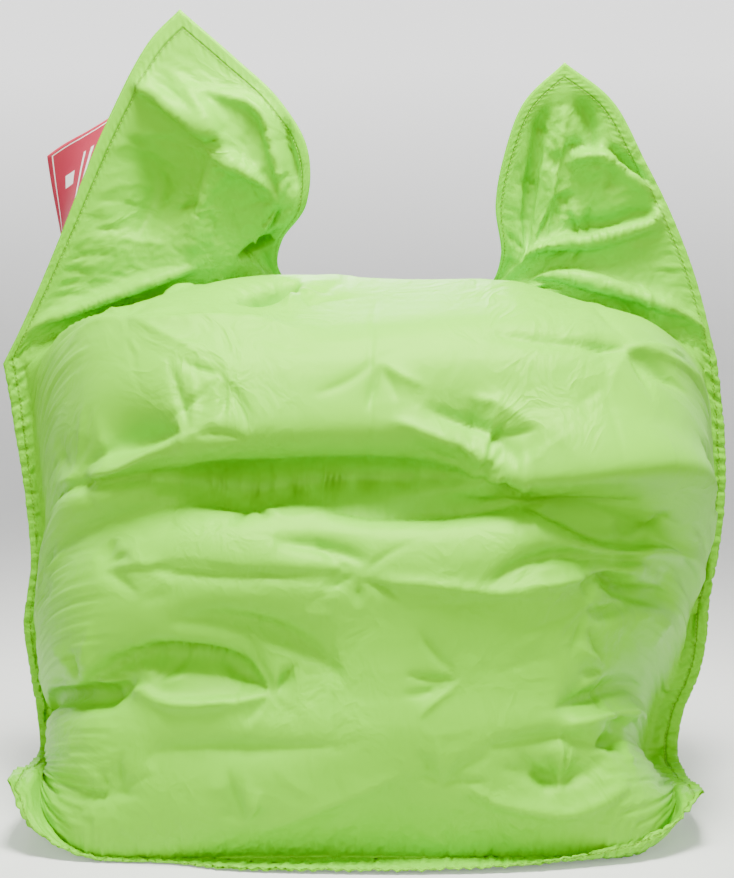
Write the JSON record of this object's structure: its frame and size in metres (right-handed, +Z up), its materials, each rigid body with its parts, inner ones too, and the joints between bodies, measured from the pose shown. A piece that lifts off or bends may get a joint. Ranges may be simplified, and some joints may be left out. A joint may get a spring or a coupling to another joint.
{
  "type": "bean bag",
  "caption": "Large rectangular bean bag standing on its lower hem, with its empty top corners up as ears, a sewn side label and a zipped removable cover over a bead liner.",
  "frame": {"origin": "on the floor, under the middle of the bag's outer box", "axes": "+X to the right across the bag seen from its front, -Y out of the front, +Z up"},
  "size_m": [1.1774, 0.6258, 1.2863],
  "materials": {
    "cover_cloth": "coated polyester, satin",
    "stitching": "polyester thread, matt",
    "zip_tape": "woven tape, matt",
    "zip_coil": "nylon coil, satin",
    "zip_metal": "die-cast, satin",
    "side_label": "woven satin, matt",
    "care_label": "woven tape, matt",
    "liner_cloth": "non-woven, matt",
    "beads": "expanded polystyrene, matt"
  },
  "bodies": {
    "bag": {"front_panel": "cover_cloth", "back_panel_lower": "cover_cloth", "back_panel_upper": "cover_cloth", "hem_thread_front": "stitching", "hem_thread_back": "stitching", "side_label": "side_label", "care_label": "care_label", "liner_front_panel": "liner_cloth", "liner_back_panel": "liner_cloth", "liner_thread": "liner_cloth", "bead_fill": "beads", "zip_tape_upper": "zip_tape", "zip_tape_lower": "zip_tape", "zip_coil_upper": "zip_coil", "zip_coil_lower": "zip_coil", "zip_stop_left": "zip_metal", "zip_stop_right": "zip_metal", "zip_tack_left": "stitching", "zip_tack_right": "stitching"},
    "slider": {"zip_slider": "zip_metal"},
    "pull": {"zip_pull": "zip_metal"}
  },
  "joints": [
    {"name": "zip_slide", "type": "slide", "parent": "bag", "child": "slider", "axis": [-1, 0, 0], "range_m": [0, 0.622]},
    {"name": "pull_hinge", "type": "hinge", "parent": "slider", "child": "pull", "pos_m": [0.31553, 0.31121, 0.27], "axis": [0, 0, -1], "range_deg": [0, 165]}
  ]
}
